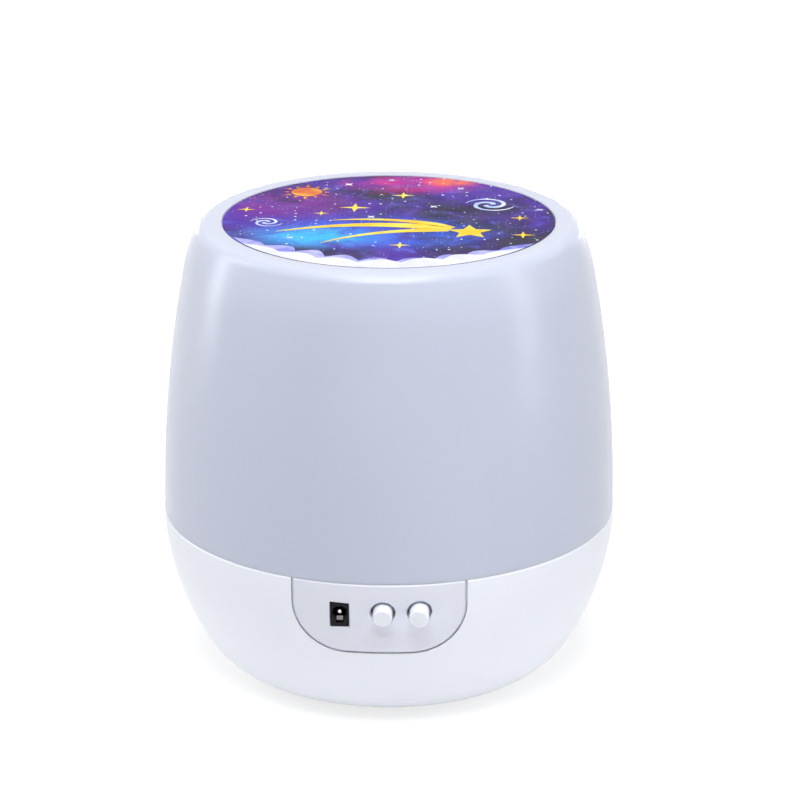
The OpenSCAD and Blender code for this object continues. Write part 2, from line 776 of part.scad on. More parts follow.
module battery_springs() color("#c9ccd0") for (i = [0:2]) {
  side = i % 2 == 0 ? -1 : 1;
  translate([cell_x[i], side * (bay_l / 2 - plate_t - 0.05), cell_z]) rotate([side * 90, 0, 0])
    coil(spring_turns, spring_r, spring_tip_r, spring_l, spring_wire);
}

// ---- wiring ----

// Wire along a curve from a to b that leaves along u and arrives from v, then runs straight to c
function bend(a, u, v, b, t) = pow(1 - t, 3) * a + 3 * t * pow(1 - t, 2) * (a + u)
  + 3 * t * t * (1 - t) * (b + v) + pow(t, 3) * b;
function unit(v) = v / norm(v);
module wire(a, u, v, b, c) {
  curve = [for (i = [0:wire_steps]) bend(a, u, v, b, i / wire_steps)];
  path = c == b ? curve : concat(curve, [c]);
  n = len(path) - 1;
  ways = [for (i = [0:n]) unit(path[min(n, i + 1)] - path[max(0, i - 1)])];
  points = [for (i = [0:n]) let (x = unit(cross(ways[i], [1, 0, 0])), y = cross(ways[i], x))
    each [for (k = [0:wire_sides - 1])
      path[i] + wire_r * (cos(360 * k / wire_sides) * x + sin(360 * k / wire_sides) * y)]];
  walls = [for (i = [0:n - 1], k = [0:wire_sides - 1]) let (
    a = i * wire_sides + k, b = i * wire_sides + (k + 1) % wire_sides,
    c = b + wire_sides, d = a + wire_sides)
    each [[a, c, b], [a, d, c]]];
  last = n * wire_sides;
  caps = [for (k = [1:wire_sides - 2]) each [[0, k, k + 1], [last, last + k + 1, last + k]]];
  polyhedron(points, concat(walls, caps));
}

// A point of the controls' frame in the lamp's frame
function from_controls(p) = [p[0],
  -base_radius(control_z) - p[1] * sin(panel_tilt) - p[2] * cos(panel_tilt),
  control_z + p[1] * cos(panel_tilt) - p[2] * sin(panel_tilt)];
board_back = board_z - board_t - wire_seat;
plug_back = board_back - plug_size[2];
function plug_wire(plug, i, n) = from_controls([plug[0] + plug_size[0] / 2
  + (i - (n - 1) / 2) * wire_pitch, plug[1] + plug_size[1] / 2, plug_back]);

module led_wires() color("#c8323c") for (i = [0:2]) {
  x = (i - 1) * wire_pitch;
  wire(plug_wire(led_plug_at, i, 3), [0, 26, 2], [0, 0, -16], [x, -1, deck_low - 4],
    [x, -1, led_low - wire_seat]);
}

module motor_wires() color("#2a2c33") for (i = [0:1]) {
  lug = [motor_at[0] + (2 * i - 1) * motor_lug_x, motor_at[1] - motor_r + motor_lug_inset - wire_seat,
    motor_top - motor_l - motor_lug_h / 2];
  wire(plug_wire(motor_plug_at, i, 2), [0, 22, 2], [0, -26, 0], lug, lug);
}

module battery_wires() color("#c8323c") for (i = [0:1]) {
  tab = [cell_x[2 * i], (2 * i - 1) * bay_l / 2 - (i == 0 ? 0 : plate_t) - wire_seat,
    tab_top - wire_r - 0.2];
  pad = from_controls([battery_pad_x[i], board_low + 1.4, board_back]);
  wire(pad, [0, 10, 1.5], [0, -10 - 22 * i, 0], tab, tab);
}

// ---- deck ----

module deck() color("#dfe2ee") difference() {
  union() {
    disc(body_r - base_wall - deck_gap - 0.15, deck_low, deck_top);
    // collar that centres the shade
    collar_r = shade_r - shade_wall - deck_gap;
    rotate_extrude() polygon([[collar_r - collar_wall, deck_low + 0.5],
      [collar_r - 0.4, deck_low + 0.5], [collar_r - 0.4, seam_z], [collar_r - 0.1, seam_z + 0.3],
      [collar_r - 0.1, seam_z + collar_h - 1.2], [collar_r - 0.8, seam_z + collar_h],
      [collar_r - collar_wall, seam_z + collar_h]]);
    disc(boss_r, deck_top - 1, boss_top);
    for (p = posts) at(p) disc(pillar_r, post_split, deck_top - 0.5);
    // ribs under the front half, from the boss to the collar
    for (i = [0:4]) rotate(30 * i - 150) translate([boss_r - 1, -rib_t / 2, deck_low - deck_rib_h])
      cube([42 - boss_r, rib_t, deck_rib_h + 0.5]);
    for (p = standoffs) at(p) disc(standoff_r, gear_plate_top, deck_top - 0.5);
    at(idler_at) disc(axle_r + 1.6, idler_top + 0.5, deck_top - 0.5);
  }
  disc(wire_hole_r, deck_low - 1, boss_top + 1);
  for (p = posts) at(p) disc(screw_r + screw_gap, post_split - 1, deck_top - 0.6);
  for (p = standoffs) at(p)
    disc(small_screw_r + screw_gap, gear_plate_top - 1, gear_plate_top + 5.5);
  for (i = [0:2]) at(polar(holder_screw_ring, 120 * i + 30))
    disc(small_screw_r + screw_gap, boss_top - 5.5, boss_top + 1);
  at(drive_at) disc(bushing_r + 0.03, deck_low - 1, deck_top + 1);
  at(idler_at) disc(axle_r + shaft_gap, idler_top - 1, deck_top - 1);
}

module thrust_washer() color("#f4f2e6") ring(washer_r, boss_r + 0.15, deck_top, deck_top + washer_t);

module shaft_bushing() color("#c8a860") at(drive_at) difference() {
  union() {
    disc(bushing_r, deck_low, deck_top);
    disc(bushing_flange_r, deck_top, deck_top + bushing_flange_t);
  }
  disc(shaft_r + shaft_gap, deck_low - 1, deck_top + 2);
}

// ---- gear train ----

module gear_plate() color("#d4d7dd") difference() {
  translate([0, 0, gear_plate_low]) linear_extrude(gear_plate_t) hull() {
    for (p = standoffs) translate(p) circle(4, $fn = 32);
    translate(motor_at) circle(9.5, $fn = 32);
  }
  for (p = standoffs) at(p) disc(small_screw_r + screw_gap, 0, lamp_h);
  for (p = posts) at(p) disc(post_r + 0.8, 0, lamp_h);
  at(motor_at) {
    disc(motor_boss_r + 0.1, 0, lamp_h);
    for (s = [-1, 1]) at(polar(motor_screw_ring, motor_dir + s * 90))
      disc(small_screw_r + 0.1, 0, lamp_h);
  }
  at(drive_at) disc(shaft_r + shaft_gap, 0, lamp_h);
  at(idler_at) disc(axle_r + 0.01, 0, lamp_h);
}

module gear_plate_screws() color("#b9bcc2") for (p = standoffs) at(p)
  translate([0, 0, gear_plate_low])
    screw(small_screw_r, gear_plate_t + small_screw_bite, small_head_r, small_head_h);

module motor_can() color("#c4c8cf") at(motor_at) difference() {
  union() {
    rotate_extrude() polygon(concat(
      [[0, motor_top - motor_l + motor_cap_h], [motor_r, motor_top - motor_l + motor_cap_h]],
      arc_points([motor_r, motor_top - 1], 1, 0, 90, 4), [[0, motor_top]]));
    disc(motor_boss_r, motor_top - 1, motor_top + motor_boss_h);
  }
  disc(motor_shaft_r + shaft_gap, motor_top - 7, motor_top + 3);
  for (s = [-1, 1]) at(polar(motor_screw_ring, motor_dir + s * 90))
    disc(small_screw_r + screw_gap, motor_top - motor_screw_bite - 0.2, motor_top + 1);
}

module motor_end_cap() color("#26282d") at(motor_at) {
  disc(motor_r - 0.4, motor_top - motor_l, motor_top - motor_l + motor_cap_h);
  for (s = [-1, 1])
    translate([s * motor_lug_x - 0.9, -motor_r + motor_lug_inset, motor_top - motor_l - motor_lug_h])
      cube([1.8, 0.5, motor_lug_h]);
}

module motor_screws() color("#b9bcc2") at(motor_at) for (s = [-1, 1])
  at(polar(motor_screw_ring, motor_dir + s * 90)) translate([0, 0, gear_plate_top])
    mirror([0, 0, 1])
      screw(small_screw_r, gear_plate_t + motor_screw_bite, small_head_r, small_head_h - 0.2);

module motor_shaft() color("#d0d3d8") at(motor_at)
  disc(motor_shaft_r, motor_top - 6.8, idler_mid + 1.2);

module motor_pinion() color("#c8a860") at(motor_at) rotate(motor_turn) difference() {
  gear(pinion_teeth, train_module, idler_low - 0.3, idler_mid + 0.3, 5);
  disc(motor_shaft_r + 0.005, 0, lamp_h);
}

module idler_axle() color("#d0d3d8") at(idler_at) disc(axle_r, gear_plate_low, deck_low + 0.6);

module idler_gear() color("#f0efe8") at(idler_at) rotate(idler_turn) difference() {
  union() {
    gear(wheel_teeth, train_module, idler_low, idler_mid);
    gear(pinion_teeth, train_module, idler_mid - 0.2, idler_top, 5);
  }
  disc(axle_r + shaft_gap, 0, lamp_h);
}

module output_gear() color("#f0efe8") at(drive_at) rotate(drive_turn) difference() {
  union() {
    gear(wheel_teeth, train_module, output_low, output_low + wheel_t);
    disc(4, output_low + 0.2, deck_low - 0.4);
  }
  disc(shaft_r + 0.005, 0, lamp_h);
}

module drive_shaft() color("#d0d3d8") at(drive_at) disc(shaft_r, gear_plate_low, drive_pinion_top);

module drive_pinion() color("#f0efe8") at(drive_at) rotate(drive_turn) difference() {
  gear(pinion_teeth, ring_module, drive_pinion_low, drive_pinion_top, 5);
  disc(shaft_r + 0.005, 0, lamp_h);
}

// ---- turntable and dome ----

module turntable() color("#eceef6") {
  difference() {
    rotate_extrude() polygon([[boss_r + bearing_gap, hub_low], [hub_r, hub_low],
      [hub_r, table_low], [table_r - upstand_wall, table_low],
      [table_r - upstand_wall, table_low - 2.4], [table_r, table_low - 2.4],
      [table_r, upstand_top - 0.4], [table_r - 0.4, upstand_top],
      [table_r - upstand_wall, upstand_top], [table_r - upstand_wall, table_top],
      [hub_r, table_top], [hub_r - 0.8, hub_top], [boss_r + bearing_gap, hub_top]]);
    for (i = [0:5]) at(polar(35.5, 60 * i)) disc(3, table_low - 1, table_top + 1);
  }
  // lugs over the dome's flange
  for (i = [0:2]) rotate(120 * i) rotate_extrude(angle = lug_angle) polygon([
    [lug_r, table_top + dome_flange_t + 0.3], [table_r - upstand_wall + 0.3, table_top + dome_flange_t + 0.3],
    [table_r - upstand_wall + 0.3, upstand_top - 0.1], [lug_r, upstand_top - 0.1]]);
}

module turntable_gear() color("#f0efe8") {
  rim_r = ring_module * ring_teeth / 2 - 4;
  difference() {
    gear(ring_teeth, ring_module, ring_low, table_low);
    disc(hub_r + 0.1, 0, lamp_h);
    disc(rim_r, 0, table_low - 1.7);
  }
}

module dome_cover() color([0.85, 0.9, 1, 0.35]) difference() {
  rotate_extrude() polygon(concat(
    [[dome_r - dome_wall, table_top], [dome_flange_r, table_top],
      [dome_flange_r, table_top + dome_flange_t], [dome_r, table_top + dome_flange_t]],
    arc_points([dome_r, dome_z], dome_r, 0, 90, 16),
    reversed(arc_points([dome_r - dome_wall, dome_z], dome_r - dome_wall, 0, 90, 16))));
  // notches that let the flange past the lugs
  for (i = [0:2]) rotate(120 * i + 55) rotate_extrude(angle = lug_angle + 6)
    translate([lug_r - 0.3, table_top - 1]) square([4, dome_flange_t + 2]);
}

// One sheet: petals that meet along slits and join round the pole
film_cap_r = 9;
film_slit = 0.5;
module star_film() color("#1c1e4a") difference() {
  rotate_extrude() polygon(concat(
    [[film_r - film_t, table_top], [film_r, table_top]],
    arc_points([film_r, dome_z], film_r, 0, 90, 16),
    reversed(arc_points([film_r - film_t, dome_z], film_r - film_t, 0, 90, 16))));
  for (i = [0:film_petals - 1]) rotate(360 / film_petals * i)
    translate([film_cap_r, -film_slit / 2, table_top - 1]) cube([film_r, film_slit, 2 * film_r]);
}

module film_ring() color("#eceef6")
  ring(film_ring_r, film_ring_r - film_ring_t, table_top, dome_z - film_ring_drop);

module led_holder() color("#f2f3f8") difference() {
  union() {
    disc(holder_r, boss_top, boss_top + holder_t);
    disc(lamp_post_r, boss_top + holder_t - 0.2, boss_top + holder_t + lamp_post_h);
  }
  disc(wire_hole_r, 0, lamp_h);
  for (i = [0:2]) at(polar(holder_screw_ring, 120 * i + 30)) disc(small_screw_r + 0.1, 0, lamp_h);
}

module led_holder_screws() color("#b9bcc2") for (i = [0:2])
  at(polar(holder_screw_ring, 120 * i + 30)) translate([0, 0, boss_top + holder_t])
    mirror([0, 0, 1]) screw(small_screw_r, holder_t + small_screw_bite, small_head_r, small_head_h);

led_low = boss_top + holder_t + lamp_post_h;
module led_board() color("#f4f4f0") difference() {
  disc(led_board_r, led_low, led_low + led_board_t);
  for (s = [-1, 1]) at([s * 6.6, 0]) disc(0.8, 0, lamp_h);
}

module led_emitters() color("#f6e27a") for (i = [0:3]) rotate(90 * i + 45)
  translate([3.2, 0, led_low + led_board_t]) {
    translate([-1.4, -1.75, 0]) cube([2.8, 3.5, 0.8]);
    translate([0, 0, 0.7]) cylinder(r1 = 1.2, r2 = 0.8, h = 0.5);
  }

// ---- shade ----

module lampshade() color([0.88, 0.89, 0.96, 0.9]) difference() {
  rotate_extrude() polygon(concat([[0, lamp_h - shade_wall], [0, lamp_h]],
    reversed(shade_profile(0)), shade_profile(shade_wall)));
  disc(picture_r + picture_gap, lamp_h - recess_depth, lamp_h + 1);
}

module picture_disc() color("#3a2a8c")
  disc(picture_r, lamp_h - recess_depth, lamp_h - recess_depth + picture_t);

base_shell();
control_panel();
deck();
rubber_feet();
housing_screws();
main_board();
board_components();
board_screws();
push_switches();
jack_housing();
jack_pin();
jack_spring();
light_button();
rotate_button();
battery_door();
battery_door_screw();
battery_plates();
battery_springs();
gear_plate();
gear_plate_screws();
motor_can();
motor_end_cap();
motor_screws();
motor_shaft();
motor_pinion();
idler_axle();
idler_gear();
output_gear();
drive_shaft();
drive_pinion();
shaft_bushing();
thrust_washer();
turntable();
turntable_gear();
dome_cover();
star_film();
film_ring();
led_holder();
led_holder_screws();
led_board();
led_emitters();
led_wires();
motor_wires();
battery_wires();
lampshade();
picture_disc();
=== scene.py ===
import math

import bmesh
import bpy
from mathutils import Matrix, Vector


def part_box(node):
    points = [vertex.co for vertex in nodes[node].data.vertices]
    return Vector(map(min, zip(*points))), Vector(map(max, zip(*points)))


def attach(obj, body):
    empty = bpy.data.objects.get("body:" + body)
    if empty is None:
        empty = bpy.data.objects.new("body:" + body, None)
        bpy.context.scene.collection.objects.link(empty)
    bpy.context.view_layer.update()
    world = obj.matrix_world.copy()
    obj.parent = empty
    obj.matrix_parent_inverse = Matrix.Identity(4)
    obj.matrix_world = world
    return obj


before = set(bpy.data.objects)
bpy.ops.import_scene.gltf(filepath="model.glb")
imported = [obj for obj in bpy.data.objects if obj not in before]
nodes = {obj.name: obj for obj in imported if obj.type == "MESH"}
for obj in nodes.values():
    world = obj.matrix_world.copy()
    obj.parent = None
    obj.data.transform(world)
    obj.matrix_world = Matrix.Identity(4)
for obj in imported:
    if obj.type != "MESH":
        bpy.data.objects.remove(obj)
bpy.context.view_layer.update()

mm = 0.001
print("frame loaded:", len(nodes), "nodes")


usualNoise = (0.3, 0.7)  # where most of a noise texture's values lie

# shader helpers: a value that is a socket is linked, anything else is set

def feed(tree, socket, value):
    if isinstance(value, bpy.types.NodeSocket):
        tree.links.new(value, socket)
    else:
        socket.default_value = value


def addNode(tree, kind, settings=None, **inputs):
    node = tree.nodes.new("ShaderNode" + kind)
    for name, value in (settings or {}).items():
        setattr(node, name, value)
    for name, value in inputs.items():
        feed(tree, node.inputs[name.replace("_", " ")], value)
    return node


def maths(tree, operation, first, second=0.0, clamp=False):
    node = addNode(tree, "Math", {"operation": operation, "use_clamp": clamp})
    feed(tree, node.inputs[0], first)
    feed(tree, node.inputs[1], second)
    return node.outputs[0]


def mixColour(tree, factor, first, second, blend="MIX"):
    node = addNode(tree, "Mix", {"data_type": "RGBA", "blend_type": blend})
    for index, value in ((0, factor), (6, first), (7, second)):
        feed(tree, node.inputs[index], value)
    return node.outputs[2]


def remap(tree, value, low, high, outLow=0.0, outHigh=1.0, smooth=False):
    kind = "SMOOTHSTEP" if smooth else "LINEAR"
    node = addNode(tree, "MapRange", {"interpolation_type": kind}, Value=value)
    for name, bound in (("From Min", low), ("From Max", high), ("To Min", outLow), ("To Max", outHigh)):
        feed(tree, node.inputs[name], bound)
    return node.outputs["Result"]


def noise(tree, vector, scale, detail=2.0, distortion=0.0):
    node = addNode(tree, "TexNoise", Vector=vector, Scale=scale, Detail=detail, Distortion=distortion)
    return node.outputs[0]


def objectPlace(tree):
    return addNode(tree, "TexCoord").outputs["Object"]


def vectorMaths(tree, operation, first, second=(0.0, 0.0, 0.0)):
    node = addNode(tree, "VectorMath", {"operation": operation})
    feed(tree, node.inputs[0], first)
    feed(tree, node.inputs[1], second)
    return node.outputs["Value" if operation == "LENGTH" else "Vector"]


def swing(tree, value, amount):  # from half the amount below zero to half above it
    return maths(tree, "MULTIPLY", maths(tree, "SUBTRACT", value, 0.5), amount)


def mixShader(tree, factor, first, second):
    node = addNode(tree, "MixShader")
    for index, socket in enumerate((factor, first, second)):
        tree.links.new(socket, node.inputs[index])
    return node.outputs[0]


# One for rays that see a thing directly, through something clear or mirrored
def seenByRay(tree):
    rays = addNode(tree, "LightPath")
    seen = maths(tree, "MAXIMUM", rays.outputs["Is Camera Ray"], rays.outputs["Is Transmission Ray"])
    return maths(tree, "MAXIMUM", seen, rays.outputs["Is Glossy Ray"])


def newGroup(name, inputs, outputs):
    group = bpy.data.node_groups.new(name, "ShaderNodeTree")
    for socketName, kind, default in inputs:
        socket = group.interface.new_socket(socketName, in_out="INPUT", socket_type="NodeSocket" + kind)
        if default is not None:
            socket.default_value = default
    for socketName, kind in outputs:
        group.interface.new_socket(socketName, in_out="OUTPUT", socket_type="NodeSocket" + kind)
    given = group.nodes.new("NodeGroupInput")
    result = group.nodes.new("NodeGroupOutput")
    return group, given.outputs, result.inputs


def placeGroup(tree, group, **values):
    node = tree.nodes.new("ShaderNodeGroup")
    node.node_tree = group
    for name, value in values.items():
        feed(tree, node.inputs[name.replace("_", " ")], value)
    return node.outputs


# Moulded surface: fine grain, slow clouding of the colour and uneven sheen
grainLook = dict(cloudScale=24.0, sheenScale=90.0)


def makeMouldedGrain():
    group, given, result = newGroup(
        "mouldedGrain",
        [("Colour", "Color", (0.8, 0.8, 0.8, 1)), ("Clouding", "Float", 0.04),
         ("Grain Scale", "Float", 2500.0), ("Roughness", "Float", 0.4), ("Roughness Spread", "Float", 0.08)],
        [("Colour", "Color"), ("Roughness", "Float"), ("Height", "Float")])
    place = objectPlace(group)
    cloud = noise(group, place, grainLook["cloudScale"])
    tint = maths(group, "ADD", swing(group, cloud, given["Clouding"]), 1.0)
    feed(group, result["Colour"], mixColour(group, 1.0, given["Colour"], tint, "MULTIPLY"))
    sheen = noise(group, place, grainLook["sheenScale"], 4.0)
    spread = swing(group, sheen, given["Roughness Spread"])
    feed(group, result["Roughness"], maths(group, "ADD", given["Roughness"], spread, True))
    feed(group, result["Height"], noise(group, place, given["Grain Scale"], 3.0))
    return group


# Drawn or rolled metal: streaks along Z, with dull patches
streakLook = dict(drawnOut=0.06, streakScale=6000.0, patchScale=420.0, patchFrom=0.4, patchTo=0.75,
                  dull=(0.32, 0.30, 0.27), dullRoughness=0.12, bump=0.06, depth=0.02 * mm)


def makeRolledStreaks():
    group, given, result = newGroup(
        "rolledStreaks",
        [("Colour", "Color", (0.7, 0.7, 0.7, 1)), ("Streaks", "Float", 0.2), ("Tarnish", "Float", 0.2),
         ("Roughness", "Float", 0.3)],
        [("Colour", "Color"), ("Roughness", "Float"), ("Height", "Float")])
    place = objectPlace(group)
    drawn = addNode(group, "Mapping", Vector=place, Scale=(1.0, 1.0, streakLook["drawnOut"])).outputs[0]
    streak = noise(group, drawn, streakLook["streakScale"])
    patch = remap(group, noise(group, place, streakLook["patchScale"], 3.0), streakLook["patchFrom"],
                  streakLook["patchTo"], smooth=True)
    tarnished = maths(group, "MULTIPLY", patch, given["Tarnish"])
    feed(group, result["Colour"], mixColour(group, tarnished, given["Colour"], (*streakLook["dull"], 1)))
    rough = maths(group, "ADD", given["Roughness"], swing(group, streak, given["Streaks"]))
    duller = maths(group, "MULTIPLY", patch, streakLook["dullRoughness"])
    feed(group, result["Roughness"], maths(group, "ADD", rough, duller, True))
    feed(group, result["Height"], streak)
    return group


# Round printed dots: one in a share of the cells, each with its own size
dotLook = dict(scatter=0.9, leastSize=0.25, fullInside=0.55)


def makeStarDots():
    group, given, result = newGroup(
        "starDots",
        [("Vector", "Vector", None), ("Scale", "Float", 300.0), ("Size", "Float", 0.12),
         ("Share", "Float", 0.5)],
        [("Mask", "Float"), ("Random", "Float")])
    cells = addNode(group, "TexVoronoi", {"voronoi_dimensions": "2D"}, Vector=given["Vector"],
                    Scale=given["Scale"], Randomness=dotLook["scatter"])
    parts = addNode(group, "SeparateColor", Color=cells.outputs["Color"])
    chosen = maths(group, "LESS_THAN", parts.outputs[0], given["Share"])
    larger = maths(group, "ADD", parts.outputs[1], dotLook["leastSize"])
    size = maths(group, "MULTIPLY", larger, given["Size"])
    away = maths(group, "DIVIDE", cells.outputs["Distance"], size)
    spot = remap(group, away, 1.0, dotLook["fullInside"], smooth=True)
    feed(group, result["Mask"], maths(group, "MULTIPLY", spot, chosen))
    feed(group, result["Random"], parts.outputs[2])
    return group


# Painted night sky: two clouded tones with wisps over them
skyLook = dict(cloudFrom=0.36, cloudTo=0.64, wispFiner=3.3, wispFrom=0.52, wispTo=0.8)


def makeNightSky():
    group, given, result = newGroup(
        "nightSky",
        [("Vector", "Vector", None), ("Deep", "Color", (0.05, 0.02, 0.2, 1)),
         ("Middle", "Color", (0.1, 0.05, 0.4, 1)), ("Wisp", "Color", (0.4, 0.4, 0.9, 1)),
         ("Scale", "Float", 30.0), ("Wisps", "Float", 0.6)],
        [("Colour", "Color")])
    broad = noise(group, given["Vector"], given["Scale"], 5.0, 0.8)
    cloud = remap(group, broad, skyLook["cloudFrom"], skyLook["cloudTo"], smooth=True)
    ground = mixColour(group, cloud, given["Deep"], given["Middle"])
    finer = maths(group, "MULTIPLY", given["Scale"], skyLook["wispFiner"])
    fine = noise(group, given["Vector"], finer, 6.0, 1.6)
    wisp = remap(group, fine, skyLook["wispFrom"], skyLook["wispTo"], smooth=True)
    strength = maths(group, "MULTIPLY", wisp, given["Wisps"])
    feed(group, result["Colour"], mixColour(group, strength, ground, given["Wisp"]))
    return group


mouldedGrain = makeMouldedGrain()
rolledStreaks = makeRolledStreaks()
starDots = makeStarDots()
nightSky = makeNightSky()
print("shader groups built")


def newMaterial(name):
    material = bpy.data.materials.new(name)
    material.use_nodes = True
    tree = material.node_tree
    tree.nodes.clear()
    surface = addNode(tree, "BsdfPrincipled")
    out = addNode(tree, "OutputMaterial")
    tree.links.new(surface.outputs[0], out.inputs["Surface"])
    return material, tree, surface


def setSockets(surface, **values):
    for name, value in values.items():
        surface.inputs[name.replace("_", " ")].default_value = value


def addBump(tree, surface, height, strength, distance, edge=0.0):
    bump = addNode(tree, "Bump", Strength=strength, Distance=distance, Height=height)
    if edge > 0.0:  # eased edges catch the light
        eased = addNode(tree, "Bevel", {"samples": 8}, Radius=edge)
        tree.links.new(eased.outputs[0], bump.inputs["Normal"])
    tree.links.new(bump.outputs[0], surface.inputs["Normal"])


plasticIor = 1.49
grainDepth = 0.05 * mm

# Every plain plastic of the lamp: colour, clouding, grain, sheen, gloss and how far its edges are eased
plasticLooks = {
    "shellPlastic": dict(colour=(0.905, 0.925, 0.98), clouding=0.02, grainScale=3200.0, roughness=0.36,
                         roughnessSpread=0.06, bump=0.05, gloss=0.4, edge=0.35 * mm),
    # the panel insert is coloured darker than the shell beside it
    "panelPlastic": dict(colour=(0.79, 0.81, 0.89), clouding=0.02, grainScale=3200.0, roughness=0.38,
                         roughnessSpread=0.06, bump=0.06, gloss=0.4, edge=0.35 * mm),
    "buttonPlastic": dict(colour=(0.88, 0.89, 0.96), clouding=0.02, grainScale=1500.0, roughness=0.24,
                          roughnessSpread=0.08, bump=0.02, gloss=0.5, edge=0.25 * mm),
    "innerPlastic": dict(colour=(0.74, 0.76, 0.82), clouding=0.06, grainScale=2200.0, roughness=0.48,
                         roughnessSpread=0.12, bump=0.08, gloss=0.45, edge=0.2 * mm),
    "gearNylon": dict(colour=(0.80, 0.78, 0.70), clouding=0.08, grainScale=1800.0, roughness=0.42,
                      roughnessSpread=0.12, bump=0.05, gloss=0.5, edge=0.0),
    "washerPlastic": dict(colour=(0.84, 0.82, 0.74), clouding=0.05, grainScale=900.0, roughness=0.3,
                          roughnessSpread=0.1, bump=0.03, gloss=0.5, edge=0.0),
    "blackPlastic": dict(colour=(0.009, 0.009, 0.010), clouding=0.3, grainScale=2400.0, roughness=0.36,
                         roughnessSpread=0.16, bump=0.08, gloss=0.14, edge=0.0),
    "footRubber": dict(colour=(0.55, 0.56, 0.60), clouding=0.12, grainScale=1600.0, roughness=0.66,
                       roughnessSpread=0.14, bump=0.18, gloss=0.3, edge=0.3 * mm),
    "redCoat": dict(colour=(0.55, 0.03, 0.03), clouding=0.1, grainScale=1500.0, roughness=0.34,
                    roughnessSpread=0.1, bump=0.03, gloss=0.5, edge=0.0),
    "darkCoat": dict(colour=(0.022, 0.024, 0.032), clouding=0.1, grainScale=1500.0, roughness=0.34,
                     roughnessSpread=0.1, bump=0.03, gloss=0.5, edge=0.0),
}


def makePlastic(name, look):
    material, tree, surface = newMaterial(name)
    grain = placeGroup(tree, mouldedGrain, Colour=(*look["colour"], 1), Clouding=look["clouding"],
                       Grain_Scale=look["grainScale"], Roughness=look["roughness"],
                       Roughness_Spread=look["roughnessSpread"])
    feed(tree, surface.inputs["Base Color"], grain["Colour"])
    feed(tree, surface.inputs["Roughness"], grain["Roughness"])
    setSockets(surface, IOR=plasticIor, Specular_IOR_Level=look["gloss"])
    addBump(tree, surface, grain["Height"], look["bump"], grainDepth, look["edge"])
    return material


# The metals: colour, streaks, tarnish and sheen
metalLooks = {
    "zincSteel": dict(colour=(0.62, 0.63, 0.66), streaks=0.14, tarnish=0.25, roughness=0.34),
    "shaftSteel": dict(colour=(0.70, 0.71, 0.73), streaks=0.1, tarnish=0.1, roughness=0.2),
    "nickelContact": dict(colour=(0.78, 0.77, 0.73), streaks=0.12, tarnish=0.12, roughness=0.22),
    # the socket's contact leaf: dull metal, painted far darker than bare metal to stand for the shade inside
    # the socket's bore
    "dullAndShadedContact": dict(colour=(0.15, 0.145, 0.135), streaks=0.12, tarnish=0.5, roughness=0.34),
    "turnedBrass": dict(colour=(0.78, 0.58, 0.27), streaks=0.16, tarnish=0.3, roughness=0.28),
}


def makeMetal(name, look):
    material, tree, surface = newMaterial(name)
    streaks = placeGroup(tree, rolledStreaks, Colour=(*look["colour"], 1), Streaks=look["streaks"],
                         Tarnish=look["tarnish"], Roughness=look["roughness"])
    feed(tree, surface.inputs["Base Color"], streaks["Colour"])
    feed(tree, surface.inputs["Roughness"], streaks["Roughness"])
    setSockets(surface, Metallic=1.0)
    addBump(tree, surface, streaks["Height"], streakLook["bump"], streakLook["depth"])
    return material


# Frosted shade: milky, softly scattering, with a satin skin
shadeLook = dict(colour=(0.600, 0.628, 0.745), clouding=0.02, grainScale=4200.0, roughness=0.25,
                 roughnessSpread=0.05, bump=0.05, gloss=0.35, scatter=0.7, scatterReach=2.5 * mm)


def makeShadePlastic():
    material, tree, surface = newMaterial("frostedShade")
    grain = placeGroup(tree, mouldedGrain, Colour=(*shadeLook["colour"], 1), Clouding=shadeLook["clouding"],
                       Grain_Scale=shadeLook["grainScale"], Roughness=shadeLook["roughness"],
                       Roughness_Spread=shadeLook["roughnessSpread"])
    feed(tree, surface.inputs["Base Color"], grain["Colour"])
    feed(tree, surface.inputs["Roughness"], grain["Roughness"])
    setSockets(surface, IOR=plasticIor, Specular_IOR_Level=shadeLook["gloss"],
               Subsurface_Weight=shadeLook["scatter"], Subsurface_Radius=(1.0, 1.0, 1.0),
               Subsurface_Scale=shadeLook["scatterReach"])
    addBump(tree, surface, grain["Height"], shadeLook["bump"], grainDepth)
    return material


# Picture on top: night sky in violet and blue, with coloured glows and dots of light
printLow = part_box("picture_disc")[1].z
printIor = 1.46
pictureLook = dict(
    deep=(0.008, 0.002, 0.032), middle=(0.062, 0.012, 0.32), wisp=(0.13, 0.15, 0.80), wisps=0.6, scale=34.0,
    roughness=0.42, sheenScale=160.0, sheenSpread=0.06, gloss=0.12, grainScale=3000.0, bump=0.03,
    depth=0.03 * mm, raggedScale=75.0, raggedFrom=0.32, raggedTo=0.58, raggedLeast=0.12, glowCore=0.15,
    # every glow: colour, middle in metres, reach, and how much it is drawn out sideways
    glows=(((0.17, 0.010, 0.27), (-0.030, 0.016), 0.022, 1.3),
           ((0.030, 0.13, 0.80), (-0.004, -0.012), 0.021, 2.0),
           ((0.04, 0.45, 0.92), (-0.020, -0.017), 0.013, 2.0),
           ((0.60, 0.012, 0.24), (0.004, 0.037), 0.013, 2.0),
           ((0.90, 0.16, 0.07), (0.016, 0.040), 0.007, 1.5)),
    # every kind of dot: how close, how large, in how many cells, how strong
    dots=((800.0, 0.15, 0.16, 0.5), (300.0, 0.12, 0.30, 0.95)), dotColour=(0.86, 0.90, 1.0))


def glowMask(tree, place, centre, reach, drawnOut, ragged):
    offset = vectorMaths(tree, "SUBTRACT", place, (*centre, printLow))
    squeezed = vectorMaths(tree, "MULTIPLY", offset, (1.0 / drawnOut, 1.0, 1.0))
    away = vectorMaths(tree, "LENGTH", squeezed)
    near = remap(tree, away, reach, reach * pictureLook["glowCore"], smooth=True)
    torn = remap(tree, ragged, pictureLook["raggedFrom"], pictureLook["raggedTo"],
                 pictureLook["raggedLeast"])
    return maths(tree, "MULTIPLY", near, torn)


